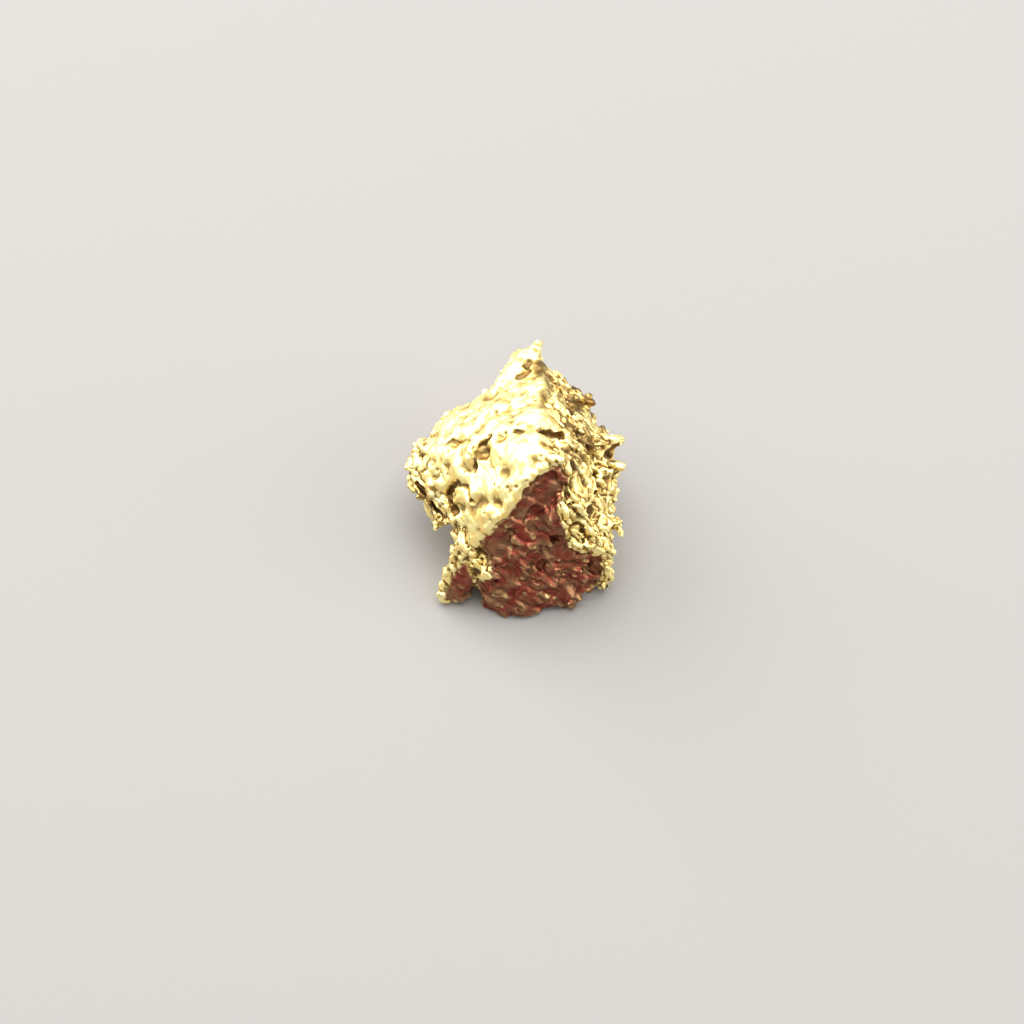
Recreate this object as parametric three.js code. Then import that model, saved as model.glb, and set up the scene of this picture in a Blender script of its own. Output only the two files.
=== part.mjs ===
// A gold nugget: one piece of rough native gold, about 12 mm long, resting on small worn flats.
//
// Millimetres, +Z up, +X to the right and +Y to the back. The nugget is designed around its
// heart, a point deep inside. Angular lumps all reach the heart, crystals and knobs stand on the
// lumps, pits are bitten out of them, and the ground wears the underside flat. The surface is one
// ball of triangles: along each direction from the heart it lies where the gold ends. At the end
// it is moved so that the origin is the middle of the nugget's box, at the level it rests on.

import * as THREE from "three";
import { ConvexHull } from "three/addons/math/ConvexHull.js";
import { mergeVertices } from "three/addons/utils/BufferGeometryUtils.js";

// ---- driving dimensions ----------------------------------------------------------------------

const SURFACE_DETAIL = 21; // splits along each edge of the ball, which gives 9680 triangles
const SOFTENING = 0.25; // share by which each corner of the skin follows its neighbours

const CRYSTAL_COUNT = 260; // crystals grown all over the lumps
const CRYSTAL_RADII = [0.35, 0.75]; // smallest and largest
const CRYSTAL_SUNK = 0.55; // share of its radius that a crystal's middle lies under the surface
const PIT_COUNT = 70; // pits all over the lumps
const PIT_RADII = [0.3, 0.55];
const PIT_SUNK = 0.05; // share of its radius that a pit's middle lies under the surface
const STRETCH = 0.3; // share by which a crystal or pit is longer or shorter on each axis
const SEED = 5;

const heart = new THREE.Vector3(0, 5, 3.2);

// ---- lumps -----------------------------------------------------------------------------------

// Corners that several lumps share. Corners below zero are cut off by the ground.
const crestRight = [1.9, 4.4, 7.8];
const crestTop = [1.1, 5.3, 7.9];
const crestMiddle = [0.2, 3.7, 7.35];
const crestNotch = [-0.3, 2.8, 6.35];
const crestLeft = [-1.5, 2.2, 5.2];
const roofLeft = [-0.9, 5.6, 7.0];
const ridgeMiddle = [1.3, 7.4, 7.1];
const ridgeHigh = [1.1, 9.7, 6.0];
const peak = [1.0, 12.0, 5.0];
const peakUnder = [0.9, 11.5, 4.0];
const backKnob = [3.7, 9.6, 4.1];
const rightNotch = [3.7, 7.8, 4.7];
const rightRoof = [2.9, 6.2, 6.2];
const leftNeck = [-1.6, 9.6, 4.8];
const leftBack = [-2.8, 9.1, 4.2];
const leftBackLow = [-3.6, 8.4, 3.6];
const leftFarTop = [-4.9, 7.0, 3.6];
const leftFar = [-5.1, 5.7, 3.2];
const leftTip = [-3.9, 3.4, 2.7];
const leftTop = [-3.1, 6.3, 5.4];
const leftTopInner = [-1.9, 5.6, 6.0];
const leftMiddle = [-2.2, 3.6, 5.2];
const leftArm = [-2.8, 3.3, 3.9];
const leftUnder = [-2.9, 5.2, 0];
const wallLowLeft = [-1.7, 0.9, 1.3];
const wallLowRight = [3.7, 1.2, 1.1];
const wallStep = [2.4, 2.2, 3.7];
const wallRight = [3.7, 2.2, 2.6];
const wallUnderCrest = [1.9, 2.9, 5.7];
const baseRight = [2.9, 0.6, -0.2];
const flankTop = [4.4, 6.5, 4.2];
const flankMiddle = [4.7, 5.3, 3.8];
const flankFoot = [4.5, 2.1, 2.7];
const rightUnder = [3.4, 5.0, 0];
const bellyBackLeft = [-1.6, 8.6, -0.2];
const bellyBackRight = [2.2, 8.6, -0.2];

// Each lump is the convex hull of its corners and the heart.
const lumps = {
  crest: [
    crestRight, crestTop, crestMiddle, crestNotch, crestLeft, roofLeft, leftTopInner, leftMiddle,
  ],
  wallLeft: [
    crestMiddle, crestNotch, crestLeft, wallLowLeft, wallUnderCrest, wallStep, baseRight,
    [-1.9, 0.5, -0.2], [-1.2, -0.1, -0.2], [0.2, -0.4, -0.2], [1.7, 0, -0.2], [0, 2.6, -0.2],
  ],
  wallRight: [
    [0.2, 3.8, 7.0], [1.8, 4.5, 7.4], [2.3, 3.8, 6.6], wallUnderCrest, wallStep, wallRight,
    wallLowRight, baseRight,
  ],
  shoulder: [[-0.6, 2.4, 5.9], [0, 2.9, 6.3], [0.7, 2.7, 6.0], [0.6, 2.0, 5.0], [-0.3, 2.0, 5.0]],
  upperLedge: [crestLeft, [-0.5, 1.7, 4.9], [0.6, 1.4, 4.2], [2.4, 1.8, 3.9]],
  lowerLedge: [[-1.5, 1.0, 2.5], [0.2, 0.5, 1.9], [1.4, 0.3, 1.8], [3.8, 1.2, 1.9]],
  flank: [
    crestRight, rightRoof, rightNotch, flankTop, flankMiddle, flankFoot,
    [4.7, 3.7, 3.2], [2.6, 3.4, 6.7], [1.9, 2.7, 5.9], [2.5, 1.7, 4.2], [4.1, 1.6, 3.4],
  ],
  foot: [
    flankFoot, wallRight, rightUnder, [4.6, 1.6, 1.3], [4.7, 1.0, -0.2], [4.0, 0.8, -0.2],
    [4.1, 3.0, 0.3],
  ],
  leg: [
    crestLeft, leftMiddle, [-2.6, 3.6, 4.0], [-2.3, 2.4, 4.2], [-2.3, 2.1, 3.1], [-2.9, 1.5, 1.7],
    [-3.9, 0.8, -0.2], [-2.9, 0.5, -0.2], [-2.1, 0.6, -0.2], [-1.8, 1.3, 2.0], [-2.4, 3.6, 0],
  ],
  roofLeft: [
    crestTop, ridgeMiddle, ridgeHigh, peak, peakUnder, [-0.4, 11.3, 4.7], leftNeck, roofLeft,
  ],
  roofRight: [
    crestRight, crestTop, ridgeMiddle, ridgeHigh, peak, peakUnder, [1.5, 10.8, 4.6], backKnob,
    rightNotch, rightRoof,
  ],
  lobeBack: [roofLeft, leftNeck, leftBack, leftBackLow, leftFarTop, leftTop, leftTopInner],
  lobeFront: [
    leftTop, leftTopInner, leftFarTop, leftFar, [-4.6, 4.6, 2.9], leftTip, leftArm, leftMiddle,
  ],
  spur: [rightNotch, rightRoof, [5.0, 7.1, 4.8], [5.0, 6.7, 4.4], [4.0, 7.2, 3.9]],
  thorn: [flankTop, [5.2, 5.9, 4.4], [5.2, 5.4, 4.0], flankMiddle],
  bellyFront: [
    wallLowLeft, wallLowRight, leftArm, flankMiddle, leftUnder, rightUnder,
    bellyBackLeft, bellyBackRight, [0.2, 1.6, 0.3],
  ],
  bellyBack: [
    peakUnder, leftNeck, backKnob, bellyBackLeft, bellyBackRight, [0.3, 10.8, 2.4],
    [-1.5, 9.6, 1.5], [2.4, 9.6, 1.4], [0.5, 9.4, 0.3],
  ],
  bellyLeft: [
    leftNeck, leftBack, leftBackLow, leftFarTop, leftFar, leftTip, leftUnder, bellyBackLeft,
    [-4.3, 6.0, 1.8], [-3.5, 7.9, 1.7], [-3.2, 4.3, 1.5], [-2.6, 7.0, 0.2], [-1.5, 9.6, 1.5],
  ],
  bellyRight: [
    backKnob, rightNotch, flankTop, flankMiddle, flankFoot, rightUnder, bellyBackRight,
    [4.3, 5.4, 1.9], [3.9, 7.6, 1.9], [3.3, 9.0, 2.2], [4.2, 3.4, 1.4], [3.0, 7.4, 0.1],
  ],
};

// Knobs at the tips and edges: the middle and the radius.
const knobs = [
  [[0.9, 11.75, 4.9], 0.5], // peak
  [[3.6, 9.5, 4.3], 0.45], // back
  [[4.8, 7.0, 4.7], 0.45], // spur
  [[4.9, 5.8, 4.25], 0.5], // thorn
  [[4.6, 3.3, 3.5], 0.55], // flank
  [[-3.9, 3.2, 2.7], 0.5], // lobe
  [[-4.8, 5.3, 3.2], 0.5], // far left
  [[-3.6, 0.9, 0.3], 0.4], // leg
  [[-1.3, 1.3, 2.6], 0.5], // between leg and wall
  [[4.4, 1.4, 0.3], 0.45], // foot
];

// Deep pits: the middle, and the half sizes along X, Y and Z.
const pits = [
  [[1.9, 5.4, 7.6], [1.0, 0.3, 0.5]], // the crease that parts the crest from the roof
  [[-3.2, 4.2, 4.6], [0.4, 0.4, 0.6]], // either side of a column in the left lobe
  [[-2.0, 3.2, 5.3], [0.3, 0.35, 0.5]],
  [[-2.6, 4.5, 5.7], [0.7, 0.3, 0.4]],
  [[-1.6, 5.7, 6.4], [0.5, 0.45, 0.5]], // the hollow under the roof's left edge
  [[0.5, 10.7, 5.4], [0.35, 0.6, 0.4]], // behind the peak
  [[2.1, 9.3, 5.4], [0.5, 0.6, 0.4]], // on the right roof
  [[3.6, 6.6, 5.7], [0.4, 0.4, 0.45]],
  [[3.4, 4.5, 6.1], [0.4, 0.35, 0.5]], // on the flank
  [[3.8, 3.0, 4.6], [0.4, 0.35, 0.5]],
  [[4.9, 6.45, 4.45], [0.6, 0.22, 0.5]], // the notch between the spur and the thorn
];

// ---- convex solids and rays from the heart ---------------------------------------------------

/** The planes of a convex hull, as outward normals and their heights over the heart. */
function planesOf(points) {
  const hull = new ConvexHull().setFromPoints(points);
  return hull.faces.map((face) => ({
    normal: face.normal.clone(),
    height: face.constant - face.normal.dot(heart),
  }));
}

/** Where a ray from the heart enters and leaves a convex solid, or null if it misses. */
function span(planes, direction) {
  let enter = 0;
  let leave = Infinity;
  for (const { normal, height } of planes) {
    const slope = normal.dot(direction);
    if (slope > 0) leave = Math.min(leave, height / slope);
    else if (slope < 0) enter = Math.max(enter, height / slope);
    else if (height < 0) return null;
  }
  return enter <= leave ? [enter, leave] : null;
}

/** The corners of a geometry, as vectors. */
function cornersOf(geometry) {
  const position = geometry.getAttribute("position");
  const corner = (_, i) => new THREE.Vector3().fromBufferAttribute(position, i);
  return Array.from({ length: position.count }, corner);
}

const lumpPlanes = Object.values(lumps).map((corners) =>
  planesOf([heart, ...corners.map((corner) => new THREE.Vector3(...corner))]),
);

/** How far the bare lumps reach along a direction. */
function lumpReach(direction) {
  return Math.max(...lumpPlanes.map((planes) => span(planes, direction)?.[1] ?? 0));
}

// ---- the ball of directions ------------------------------------------------------------------

/** A fine ball of triangles whose corners are shared. */
function fineBall() {
  const ball = new THREE.IcosahedronGeometry(1, SURFACE_DETAIL);
  ball.deleteAttribute("normal");
  ball.deleteAttribute("uv");
  return mergeVertices(ball);
}

/** The neighbours of each corner of an indexed geometry. */
function neighboursOf(geometry) {
  const neighbours = cornersOf(geometry).map(() => new Set());
  const corners = geometry.getIndex().array;
  for (let i = 0; i < corners.length; i += 3) {
    const [a, b, c] = corners.subarray(i, i + 3);
    neighbours[a].add(b).add(c);
    neighbours[b].add(c).add(a);
    neighbours[c].add(a).add(b);
  }
  return neighbours.map((near) => [...near]);
}

const skin = fineBall();
const neighbours = neighboursOf(skin);
const directions = cornersOf(skin).map((corner) => corner.normalize());

// ---- crystals, knobs and pits ----------------------------------------------------------------

/** A repeatable stream of numbers from 0 to 1, by the mulberry32 rule. */
function randomStream(seed) {
  let state = seed;
  return () => {
    state = (state + 0x6d2b79f5) | 0;
    let mixed = Math.imul(state ^ (state >>> 15), 1 | state);
    mixed = (mixed + Math.imul(mixed ^ (mixed >>> 7), 61 | mixed)) ^ mixed;
    return ((mixed ^ (mixed >>> 14)) >>> 0) / 4294967296;
  };
}

const random = randomStream(SEED);
const between = (low, high) => low + (high - low) * random();

/** Planes of small angular solids, spread all over the lumps and turned at random. */
function scattered(count, [smallest, largest], sunk) {
  return Array.from({ length: count }, (_, i) => {
    const direction = directions[Math.floor(((i + random()) * directions.length) / count)];
    const radius = between(smallest, largest);
    const depth = lumpReach(direction) - sunk * radius;
    const middle = direction.clone().multiplyScalar(depth).add(heart);
    const Shape = random() < 0.5 ? THREE.OctahedronGeometry : THREE.IcosahedronGeometry;
    const stretch = [0, 0, 0].map(() => between(1 - STRETCH, 1 + STRETCH));
    const turn = new THREE.Quaternion(...[0, 0, 0, 0].map(() => between(-1, 1))).normalize();
    const solid = new Shape(radius).scale(...stretch).applyQuaternion(turn).translate(...middle);
    return planesOf(cornersOf(solid));
  });
}

/** Planes of one rounded solid with the given middle and half sizes. */
function rounded(middle, halfSizes) {
  const solid = new THREE.IcosahedronGeometry(1, 1).scale(...halfSizes).translate(...middle);
  return planesOf(cornersOf(solid));
}

const raised = [
  ...scattered(CRYSTAL_COUNT, CRYSTAL_RADII, CRYSTAL_SUNK),
  ...knobs.map(([middle, radius]) => rounded(middle, [radius, radius, radius])),
];

const bitten = [
  ...scattered(PIT_COUNT, PIT_RADII, PIT_SUNK),
  ...pits.map(([middle, halfSizes]) => rounded(middle, halfSizes)),
];

/** How far the gold reaches along a direction: lumps and crystals, less the pits. */
function reach(direction) {
  let end = lumpReach(direction);
  for (const planes of raised) {
    const inside = span(planes, direction);
    if (inside && inside[0] < end) end = Math.max(end, inside[1]);
  }
  for (const planes of bitten) {
    const inside = span(planes, direction);
    if (inside && inside[0] < end && inside[1] > end) end = inside[0];
  }
  return end;
}

// ---- the model -------------------------------------------------------------------------------

/** Moves each corner of the ball to where the gold ends, softened a little and cut by the ground. */
function shapeSkin() {
  const reaches = directions.map(reach);
  const position = skin.getAttribute("position");
  directions.forEach((direction, i) => {
    const around = neighbours[i].reduce((sum, near) => sum + reaches[near], 0) / neighbours[i].length;
    const soft = (1 - SOFTENING) * reaches[i] + SOFTENING * around;
    const toGround = direction.z < 0 ? heart.z / -direction.z : Infinity;
    const corner = direction.clone().multiplyScalar(Math.min(soft, toGround)).add(heart);
    position.setXYZ(i, corner.x, corner.y, Math.max(corner.z, 0));
  });
  skin.computeBoundingBox();
  const { min, max } = skin.boundingBox;
  return skin.translate(-(min.x + max.x) / 2, -(min.y + max.y) / 2, 0);
}

const gold = new THREE.MeshStandardMaterial({ color: 0xe8bf5a, metalness: 1, roughness: 0.3 });
const nugget = new THREE.Mesh(shapeSkin(), gold);
nugget.name = "nugget";

const model = new THREE.Group();
model.add(nugget);
export default model;
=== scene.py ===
# %% [markdown]
# # A gold nugget, about 12 mm long
# A crystalline nugget of natural gold, as it comes out of the ground: one solid piece of metal with
# a tall crest, a star-like right side with sharp points, a rounded lobe on the left and two legs
# that it stands on. It is loaded as a plain solid, and this lesson gives it a skin: first the
# large swells and pits, then the grains that are fused to it, then the lumps and grooves between
# crystals, and last a few crystals that stand free.

import bpy
import numpy as np
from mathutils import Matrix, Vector


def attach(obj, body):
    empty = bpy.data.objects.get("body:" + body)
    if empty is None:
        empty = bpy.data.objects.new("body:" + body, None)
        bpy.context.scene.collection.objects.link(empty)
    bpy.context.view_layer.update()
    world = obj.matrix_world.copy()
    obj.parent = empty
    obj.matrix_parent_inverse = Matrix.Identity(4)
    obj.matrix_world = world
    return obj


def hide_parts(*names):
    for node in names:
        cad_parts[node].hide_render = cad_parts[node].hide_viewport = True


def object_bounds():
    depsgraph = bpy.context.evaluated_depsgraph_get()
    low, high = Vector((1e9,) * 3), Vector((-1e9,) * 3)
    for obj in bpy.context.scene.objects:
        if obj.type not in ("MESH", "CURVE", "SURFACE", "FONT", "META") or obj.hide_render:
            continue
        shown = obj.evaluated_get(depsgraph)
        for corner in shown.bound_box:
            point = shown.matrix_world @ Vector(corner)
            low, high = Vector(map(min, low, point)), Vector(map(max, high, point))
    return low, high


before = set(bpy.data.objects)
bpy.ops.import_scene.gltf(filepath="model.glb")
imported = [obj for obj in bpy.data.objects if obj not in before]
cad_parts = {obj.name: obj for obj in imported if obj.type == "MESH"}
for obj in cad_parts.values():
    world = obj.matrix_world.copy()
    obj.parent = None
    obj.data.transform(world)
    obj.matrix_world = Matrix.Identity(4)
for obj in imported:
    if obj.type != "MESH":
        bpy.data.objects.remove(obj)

solid_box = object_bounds()
MM = 0.001
print("solid from", [round(c / MM, 2) for c in solid_box[0]], "to", [round(c / MM, 2) for c in solid_box[1]])

# %% [markdown]
# ## The camera
# It looks steeply down at the nugget from the front, 65 degrees above the floor and 95 mm away,
# and sees a square of 47.6 mm at that distance. It could stand further off with a longer lens,
# but from near the crest looks slightly larger than the feet. It comes first, because the light
# is judged through it.

# %% camera
LOOK_AT = Vector((-0.157, -2.057, 3.5)) * MM
ELEVATION = np.radians(65)
DISTANCE = 95 * MM
FIELD = 47.628 * MM
SENSOR = 36


def make_camera():
    """A camera at its distance from LOOK_AT, in the direction (0, -cos, sin) of the elevation.
    Its lens is to its sensor what its distance is to the width of its field."""
    data = bpy.data.cameras.new("camera")
    data.lens = SENSOR * DISTANCE / FIELD
    data.sensor_width = SENSOR
    data.clip_start = 1 * MM
    data.clip_end = 10
    camera = bpy.data.objects.new("camera", data)
    away = Vector((0, -np.cos(ELEVATION), np.sin(ELEVATION)))
    camera.location = LOOK_AT + away * DISTANCE
    camera.rotation_mode = "QUATERNION"
    camera.rotation_quaternion = (-away).to_track_quat("-Z", "Y")
    bpy.context.scene.collection.objects.link(camera)
    bpy.context.scene.camera = camera
    return camera


camera = make_camera()
print("camera at", [round(c / MM, 1) for c in camera.location], "mm")

# %% [markdown]
# ## Noise
# Nothing on natural gold repeats. Two kinds of noise give its swells and its grain: smooth noise,
# and cells, whose edges look like the joints between crystals that have grown against each
# other. Blender's own noise works point by point, so both are worked out here with numpy, for
# all points at once.

# %% numbers drawn for whole-number cells
DRAWN = np.random.default_rng(7).random(65536)
NEAR_STEPS = np.stack(np.meshgrid([-1, 0, 1], [-1, 0, 1], [-1, 0, 1]), -1).reshape(-1, 3)
CORNER_STEPS = np.stack(np.meshgrid([0, 1], [0, 1], [0, 1]), -1).reshape(-1, 3)


def drawn_for(cells, seed):
    """A steady number from 0 to 1 for each cell. Its three whole numbers are each multiplied
    by a large prime and mixed with exclusive or, and the result looks up one of DRAWN."""
    mixed = cells[:, 0] * 73856093 ^ cells[:, 1] * 19349663 ^ cells[:, 2] * 83492791 ^ seed * 7919
    mixed = mixed ^ (mixed >> 13)
    return DRAWN[(mixed * 2654435761 >> 8) & 65535]


def smooth_noise(points, size, seed):
    """Noise from -1 to 1 whose swells are about as wide as size: the numbers at the eight corners
    of the cube around a point, mixed by how near it is to each, eased by 3t^2 - 2t^3."""
    place = points / size
    low = np.floor(place).astype(np.int64)
    part = place - low
    part = part * part * (3 - 2 * part)
    total = np.zeros(len(points))
    for step in CORNER_STEPS:
        share = np.prod(np.where(step == 1, part, 1 - part), axis=1)
        total += share * drawn_for(low + step, seed)
    return 2 * total - 1


def layered_noise(points, size, seed, layers=3):
    """Smooth noise plus half as much at half the size, and so on."""
    return sum(smooth_noise(points, size / 2**k, seed + k) / 2**k for k in range(layers))


def noise_vectors(points, size, seed):
    """Three smooth noises side by side, to push points about."""
    return np.stack([smooth_noise(points, size, seed + k) for k in range(3)], 1)


def cell_noise(points, size, seed):
    """Each cube of the given size holds one point drawn at random. Gives the distance to the
    nearest of them, the distance to the second nearest, both in cubes, a number drawn for the
    nearest one, and the way to it."""
    place = points / size
    low = np.floor(place).astype(np.int64)
    first = np.full(len(points), 9.0)
    second = first.copy()
    number = np.zeros(len(points))
    way = np.zeros((len(points), 3))
    for step in NEAR_STEPS:
        cell = low + step
        centre = cell + np.stack([drawn_for(cell, seed + k) for k in range(3)], 1)
        gap = np.linalg.norm(place - centre, axis=1)
        nearer = gap < first
        second = np.where(nearer, first, np.minimum(second, gap))
        number = np.where(nearer, drawn_for(cell, seed + 3), number)
        way = np.where(nearer[:, None], place - centre, way)
        first = np.minimum(first, gap)
    return first, second, number, way


def eased(value, low, high):
    """0 below low, 1 above high, and 3t^2 - 2t^3 between."""
    t = np.clip((value - low) / (high - low), 0, 1)
    return t * t * (3 - 2 * t)


# %% [markdown]
# ## Meshes as arrays
# A mesh is two arrays here: corners, and triangles that name three corners each. A sculptor would
# push the surface about with brushes. Here each push is a formula over all corners at once, so
# it can be read and changed later. Everything is in millimetres until the very end.

# %% helpers for meshes
def arrays_of(mesh):
    """The corners and triangles of a Blender mesh."""
    mesh.calc_loop_triangles()
    corners = np.empty(len(mesh.vertices) * 3, np.float32)
    mesh.vertices.foreach_get("co", corners)
    triangles = np.empty(len(mesh.loop_triangles) * 3, np.int32)
    mesh.loop_triangles.foreach_get("vertices", triangles)
    return corners.reshape(-1, 3).astype(float), triangles.reshape(-1, 3).astype(np.int64)


def mesh_of(name, corners, triangles):
    """A Blender mesh from the two arrays."""
    mesh = bpy.data.meshes.new(name)
    mesh.vertices.add(len(corners))
    mesh.vertices.foreach_set("co", corners.astype(np.float32).ravel())
    mesh.loops.add(triangles.size)
    mesh.loops.foreach_set("vertex_index", triangles.astype(np.int32).ravel())
    mesh.polygons.add(len(triangles))
    mesh.polygons.foreach_set("loop_start", np.arange(0, triangles.size, 3, dtype=np.int32))
    mesh.update(calc_edges=True)
    mesh.validate()
    return mesh


def joined(corners, triangles):
    """Corners at the same place become one corner."""
    _, first, back = np.unique(np.round(corners * 1e4), axis=0, return_index=True, return_inverse=True)
    return corners[first], back.reshape(-1)[triangles]


def through_modifier(corners, triangles, kind, **settings):
    """The arrays after one of Blender's modifiers has worked on them."""
    piece = bpy.data.objects.new("work", mesh_of("work", corners, triangles))
    bpy.context.scene.collection.objects.link(piece)
    modifier = piece.modifiers.new("work", kind)
    for name, value in settings.items():
        setattr(modifier, name, value)
    made = piece.evaluated_get(bpy.context.evaluated_depsgraph_get()).to_mesh()
    result = arrays_of(made)
    used = piece.data
    bpy.data.objects.remove(piece)
    bpy.data.meshes.remove(used)
    return result


def normals_of(corners, triangles):
    """The outward direction at each corner: the cross products of the triangles that meet there,
    added up and made one long."""
    a, b, c = (corners[triangles[:, k]] for k in range(3))
    faces = np.cross(b - a, c - a)
    total = np.stack(
        [np.bincount(triangles.ravel(), np.repeat(faces[:, k], 3), len(corners)) for k in range(3)], 1
    )
    return total / np.maximum(np.linalg.norm(total, axis=1, keepdims=True), 1e-12)


def edges_of(triangles):
    """Each edge once, as two corner numbers."""
    ends = np.concatenate([triangles[:, [0, 1]], triangles[:, [1, 2]], triangles[:, [2, 0]]])
    ends.sort(axis=1)
    codes = np.unique(ends[:, 0] * (triangles.max() + 1) + ends[:, 1])
    return np.stack([codes // (triangles.max() + 1), codes % (triangles.max() + 1)])


def evened(values, edges, rounds):
    """Each round puts the mean of a corner's neighbours halfway into its own value."""
    count = len(values)
    near = np.bincount(edges[0], minlength=count) + np.bincount(edges[1], minlength=count)
    values = values.reshape(count, -1)
    for _ in range(rounds):
        total = [
            np.bincount(edges[0], column[edges[1]], count) + np.bincount(edges[1], column[edges[0]], count)
            for column in values.T
        ]
        values = 0.5 * values + 0.5 * np.stack(total, 1) / near[:, None]
    return values


def largest_shell(corners, triangles):
    """The largest connected shell alone. Every corner starts with its own number, and takes the
    smallest number along its edges until nothing changes, so each shell ends with one number."""
    number = np.arange(len(corners))
    ends = edges_of(triangles)
    while True:
        low = np.minimum(number[ends[0]], number[ends[1]])
        after = number.copy()
        np.minimum.at(after, ends[0], low)
        np.minimum.at(after, ends[1], low)
        after = after[after]
        if np.array_equal(after, number):
            break
        number = after
    counts = np.bincount(number[triangles[:, 0]], minlength=len(corners))
    kept = triangles[number[triangles[:, 0]] == counts.argmax()]
    used, back = np.unique(kept, return_inverse=True)
    return corners[used], back.reshape(-1, 3)


# %% [markdown]
# ## The base
# The plain solid has flat facets. Splitting them would keep their creases, so a copy of it is
# joined up and rebuilt from small even squares, then evened out. It bends smoothly after that
# and has the corners that fine detail needs.

# %% an even copy of the solid
BASE_STEP = 0.1
solid_corners, solid_triangles = arrays_of(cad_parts["nugget"].data)
solid_corners = solid_corners / MM
solid_corners, solid_triangles = joined(solid_corners, solid_triangles)
corners, triangles = through_modifier(
    solid_corners, solid_triangles, "REMESH", mode="VOXEL", voxel_size=BASE_STEP
)
edges = edges_of(triangles)
corners = evened(corners, edges, 4)
print("base:", len(corners), "corners,", len(triangles), "triangles")

# %% [markdown]
# ## Regions
# The nugget isn't the same all over. The steep front wall below the crest is broken into slanting
# ledges, and it and the left leg's face are painted dark red-brown as a reflection in shade; the
# crest and the top of the lobe are worn smooth, and the right side is a crust of long crystals.
# The regions could be painted by hand, but a rule also works for grains that don't exist yet:
# each is a soft mask from a place and its direction.

# %% masks for the four regions
WALL_OUT = np.array([0.1, -0.86, 0.5])
WALL_UP = np.array([0.0, 0.5, 0.86])
WALL_OUTLINE = np.array(
    [
        (-1.75, -2.9), (-1.80, -1.1), (-1.05, 0.1), (-1.60, 1.2), (-1.60, 2.1), (-0.70, 2.95),
        (-0.15, 3.7), (0.18, 4.3), (0.55, 5.0), (1.90, 5.7), (2.40, 4.9), (1.95, 4.2),
        (1.90, 3.5), (2.35, 2.3), (2.40, 1.2), (4.05, 0.2), (4.00, -1.1), (3.60, -2.9),
    ]
)
LEG_OUTLINE = np.array(
    [(-2.30, 0.25), (-1.95, -0.60), (-2.05, -2.20), (-2.60, -2.40), (-3.35, -2.05), (-2.80, -0.35)]
)


def inside_outline(flat, outline):
    """How far each flat point is inside a closed outline, or less than 0 outside it. A point is
    inside if a line from it crosses the outline an odd number of times."""
    nearest = np.full(len(flat), 1e9)
    crossings = np.zeros(len(flat), int)
    for start, end in zip(outline, np.roll(outline, -1, axis=0)):
        along = end - start
        part = np.clip((flat - start) @ along / (along @ along), 0, 1)
        nearest = np.minimum(nearest, np.linalg.norm(flat - start - part[:, None] * along, axis=1))
        spans = (start[1] > flat[:, 1]) != (end[1] > flat[:, 1])
        level = (flat[:, 1] - start[1]) / (along[1] if along[1] else 1e-9)
        crossings += spans & (flat[:, 0] < start[0] + level * along[0])
    return np.where(crossings % 2 == 1, nearest, -nearest)


DARK_FACE_EDGE = (-0.04, 0.06)
WALL_TURN = (0.0, 0.3)
LEG_TURN = (0.3, 0.6)
WORN_RIGHT_END = (1.3, 2.0)
WORN_LEFT_END = (-4.5, -4.0)
WORN_LOWER_END = (3.7, 4.3)
WORN_SLOPE = (0.12, 0.4)
FLANK_LEFT_END = (1.7, 2.2)
FLANK_BACK_END = (0.8, 1.8)


def dark_face(points, form, outline, turn):
    """1 on a face that is painted dark as a reflection in shade: inside its outline as seen straight
    on, where the form faces forwards.
    """
    ragged = 0.10 * layered_noise(points, 0.5, 40)
    flat = np.stack([points[:, 0], points @ WALL_UP], 1)
    inside = eased(inside_outline(flat, outline) + ragged, *DARK_FACE_EDGE)
    return inside * eased(form @ WALL_OUT, *turn)


def regions(points, form):
    """Four masks: smooth is 1 on the worn top, which lies above the lobe's rim, left of the right
    side and off the stained faces. Wall is 1 on the front wall, leg on the left leg's dark face,
    and flank on the right side, in front of the roof."""
    wall = dark_face(points, form, WALL_OUTLINE, WALL_TURN)
    leg = dark_face(points, form, LEG_OUTLINE, LEG_TURN)
    left = 1 - eased(points[:, 0] + 0.3 * smooth_noise(points, 0.8, 45), *WORN_RIGHT_END)
    inner = eased(points[:, 0] + 0.25 * smooth_noise(points, 0.6, 46), *WORN_LEFT_END)
    high = eased(points[:, 2] + 0.2 * smooth_noise(points, 0.6, 47), *WORN_LOWER_END)
    smooth = left * inner * high * eased(form[:, 2], *WORN_SLOPE) * (1 - wall) * (1 - leg)
    right = eased(points[:, 0], *FLANK_LEFT_END) * (1 - wall)
    flank = right * (1 - eased(points[:, 1], *FLANK_BACK_END))
    return smooth, wall, leg, flank


# %% worn patches between the crystals
WORN_PATCHES = [
    # middle and radius of places on the right side where the crystals have run together
    ((2.55, -2.90, 5.20), 0.75), ((3.00, -3.60, 3.90), 0.60), ((4.20, 0.50, 5.00), 0.55),
    ((4.60, -1.90, 3.60), 0.60), ((3.10, -1.00, 6.70), 0.45), ((3.70, -2.20, 4.90), 0.45),
    # and on the column that runs down to the left leg
    ((-2.50, -3.45, 3.30), 0.95), ((-2.80, -3.95, 2.40), 0.70),
    # and the tips, which stick out and wear first
    ((4.80, 1.10, 4.50), 0.75), ((5.00, -0.20, 4.30), 0.55), ((3.70, 3.50, 4.40), 0.55),
    ((0.95, 5.80, 5.00), 0.60), ((4.30, -4.60, 0.80), 0.80), ((-3.60, -5.00, 0.50), 0.60),
]


def worn_patches(points):
    """1 in the middle of a worn patch and 0 outside, with a ragged rim."""
    ragged = 0.25 * layered_noise(points, 0.6, 98)
    worn = np.zeros(len(points))
    for middle, radius in WORN_PATCHES:
        gap = np.linalg.norm(points - np.array(middle), axis=1) / radius
        worn = np.maximum(worn, eased(1 - gap + ragged, 0.0, 0.3))
    return worn


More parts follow.
